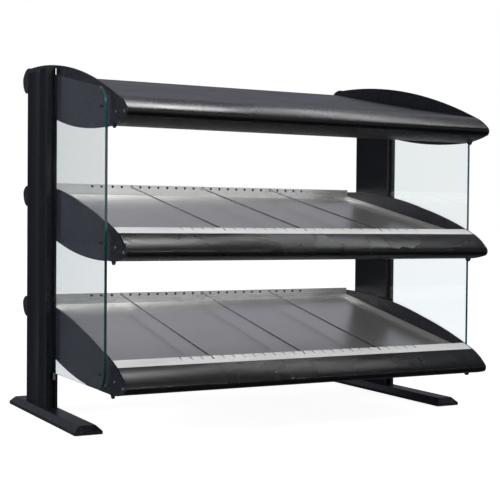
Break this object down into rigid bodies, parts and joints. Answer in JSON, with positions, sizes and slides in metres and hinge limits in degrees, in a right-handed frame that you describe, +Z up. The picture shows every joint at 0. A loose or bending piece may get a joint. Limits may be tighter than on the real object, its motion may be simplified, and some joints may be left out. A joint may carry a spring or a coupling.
{
  "type": "hot food display case",
  "caption": "Free-standing heated display case: a hood and slanted heated shelves with divider rods between fluted columns on long feet, side glass.",
  "frame": {"origin": "middle of the footprint, on the surface the case stands on", "axes": "+X to the right seen from the front, the long way; +Y towards the rear (operator's side); +Z up"},
  "size_m": [1.017, 0.71, 0.841],
  "materials": {
    "black_paint": "fine-textured blue-black powder coat",
    "black_extrusion": "semi-gloss black coat on an aluminium extrusion",
    "black_panel": "semi-gloss black coat",
    "tray_steel": "brushed stainless",
    "rod_steel": "bright drawn",
    "glass": "clear, polished green edges",
    "rubber": "matte",
    "zinc": "zinc plated",
    "chrome": "polished",
    "knob_plastic": "satin black",
    "switch_plastic": "gloss black",
    "rocker_plastic": "gloss red",
    "lens": "translucent amber",
    "element_steel": "heat-darkened sheath",
    "lamp_glass": "clear coated tube",
    "ceramic": "unglazed",
    "silicone": "matte",
    "wool": "fibrous",
    "thermostat_body": "moulded"
  },
  "bodies": {
    "case": {"channel_strips": "rubber", "column_screws": "zinc", "display_lamps": "lamp_glass", "element_brackets": "zinc", "end_plate_screws": "zinc", "foot_bolts": "zinc", "foot_pads": "rubber", "glass_bumpers": "rubber", "glass_clips": "chrome", "glass_top_pins": "chrome", "hood_left_end": "black_paint", "hood_nose": "black_extrusion", "hood_pan": "black_panel", "hood_rear_panel": "black_panel", "hood_right_end": "black_paint", "hood_top_panel": "black_panel", "indicator_lights": "lens", "lamp_sockets": "ceramic", "left_column": "black_extrusion", "left_foot": "black_paint", "left_side_glass": "glass", "lower_bay_element": "element_steel", "lower_blanket_heater": "silicone", "lower_insulation": "wool", "lower_left_end": "black_paint", "lower_nose": "black_extrusion", "lower_pan": "black_panel", "lower_rear_panel": "black_panel", "lower_right_end": "black_paint", "lower_tray": "tray_steel", "power_inlet": "switch_plastic", "right_column": "black_extrusion", "right_foot": "black_paint", "right_side_glass": "glass", "switch_housings": "switch_plastic", "thermostats": "thermostat_body", "upper_bay_element": "element_steel", "upper_blanket_heater": "silicone", "upper_insulation": "wool", "upper_left_end": "black_paint", "upper_nose": "black_extrusion", "upper_pan": "black_panel", "upper_rear_panel": "black_panel", "upper_right_end": "black_paint", "upper_tray": "tray_steel"},
    "lower_knob_assembly": {"lower_knob": "knob_plastic", "lower_spindle": "zinc"},
    "lower_switch": {"lower_rocker": "rocker_plastic"},
    "upper_knob_assembly": {"upper_knob": "knob_plastic", "upper_spindle": "zinc"},
    "upper_switch": {"upper_rocker": "rocker_plastic"},
    "hood_knob_assembly": {"hood_knob": "knob_plastic", "hood_spindle": "zinc"},
    "hood_switch": {"hood_rocker": "rocker_plastic"},
    "lower_left_rod": {"lower_left_divider": "rod_steel"},
    "lower_middle_rod": {"lower_middle_divider": "rod_steel"},
    "lower_right_rod": {"lower_right_divider": "rod_steel"},
    "upper_left_rod": {"upper_left_divider": "rod_steel"},
    "upper_middle_rod": {"upper_middle_divider": "rod_steel"},
    "upper_right_rod": {"upper_right_divider": "rod_steel"}
  },
  "joints": [
    {"name": "lower_knob_turn", "type": "hinge", "parent": "case", "child": "lower_knob_assembly", "pos_m": [0.3, 0.3185, 0.2446], "axis": [0, -1, 0], "range_deg": [0, 300]},
    {"name": "lower_switch_rock", "type": "hinge", "parent": "case", "child": "lower_switch", "pos_m": [0.24, 0.3185, 0.2446], "axis": [1, 0, 0], "range_deg": [0, 16]},
    {"name": "upper_knob_turn", "type": "hinge", "parent": "case", "child": "upper_knob_assembly", "pos_m": [0.3, 0.3185, 0.522], "axis": [0, -1, 0], "range_deg": [0, 300]},
    {"name": "upper_switch_rock", "type": "hinge", "parent": "case", "child": "upper_switch", "pos_m": [0.24, 0.3185, 0.522], "axis": [1, 0, 0], "range_deg": [0, 16]},
    {"name": "hood_knob_turn", "type": "hinge", "parent": "case", "child": "hood_knob_assembly", "pos_m": [0.3, 0.297, 0.797], "axis": [0, -1, 0], "range_deg": [0, 300]},
    {"name": "hood_switch_rock", "type": "hinge", "parent": "case", "child": "hood_switch", "pos_m": [0.24, 0.297, 0.797], "axis": [1, 0, 0], "range_deg": [0, 16]},
    {"name": "lower_left_divider_lift", "type": "hinge", "parent": "case", "child": "lower_left_rod", "pos_m": [-0.2286, 0.2595, 0.2705], "axis": [-1, 0, 0], "range_deg": [0, 12]},
    {"name": "lower_middle_divider_lift", "type": "hinge", "parent": "case", "child": "lower_middle_rod", "pos_m": [0, 0.2595, 0.2705], "axis": [-1, 0, 0], "range_deg": [0, 12]},
    {"name": "lower_right_divider_lift", "type": "hinge", "parent": "case", "child": "lower_right_rod", "pos_m": [0.2032, 0.2595, 0.2705], "axis": [-1, 0, 0], "range_deg": [0, 12]},
    {"name": "upper_left_divider_lift", "type": "hinge", "parent": "case", "child": "upper_left_rod", "pos_m": [-0.2032, 0.2595, 0.5479], "axis": [-1, 0, 0], "range_deg": [0, 12]},
    {"name": "upper_middle_divider_lift", "type": "hinge", "parent": "case", "child": "upper_middle_rod", "pos_m": [0, 0.2595, 0.5479], "axis": [-1, 0, 0], "range_deg": [0, 12]},
    {"name": "upper_right_divider_lift", "type": "hinge", "parent": "case", "child": "upper_right_rod", "pos_m": [0.2032, 0.2595, 0.5479], "axis": [-1, 0, 0], "range_deg": [0, 12]}
  ]
}
